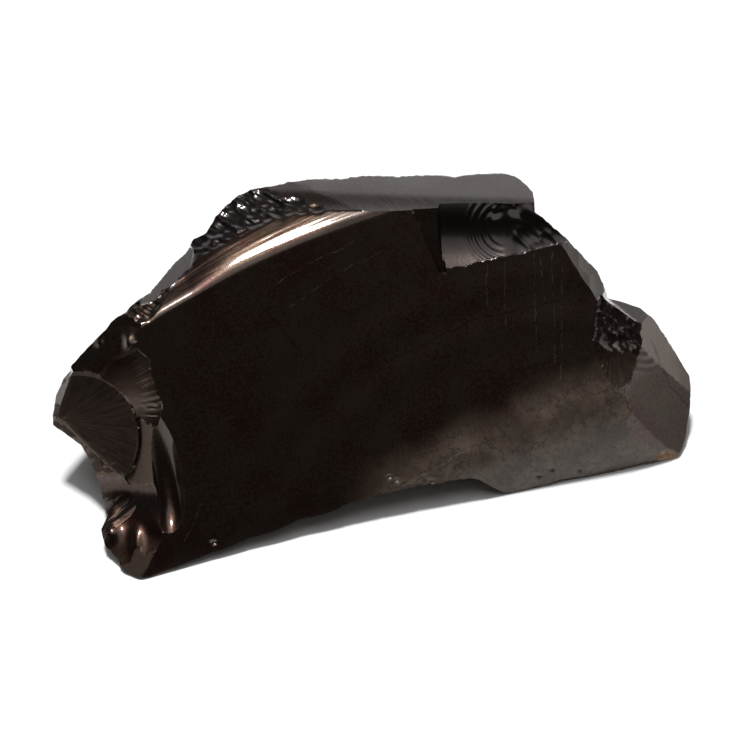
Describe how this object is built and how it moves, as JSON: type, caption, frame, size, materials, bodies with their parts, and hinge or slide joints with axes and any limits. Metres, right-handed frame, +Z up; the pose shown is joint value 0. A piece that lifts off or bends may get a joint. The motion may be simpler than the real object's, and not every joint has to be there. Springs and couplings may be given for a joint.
{
  "type": "shungite stone",
  "caption": "Glossy black shungite lump with shell-like fracture faces and sharp chipped edges, lying on a flat underside; a display, collection or decor stone.",
  "frame": {"origin": "middle of the bounding box, on the ground the stone lies on", "axes": "+X along the stone's length, +Y from the broad leaning face to the back, +Z up"},
  "size_m": [0.0915, 0.0573, 0.0327],
  "materials": {
    "shungite": "glassy black-brown natural stone, satin and brown-filmed toward one lower edge"
  },
  "bodies": {
    "root": {"shungite_stone": "shungite"}
  },
  "joints": []
}
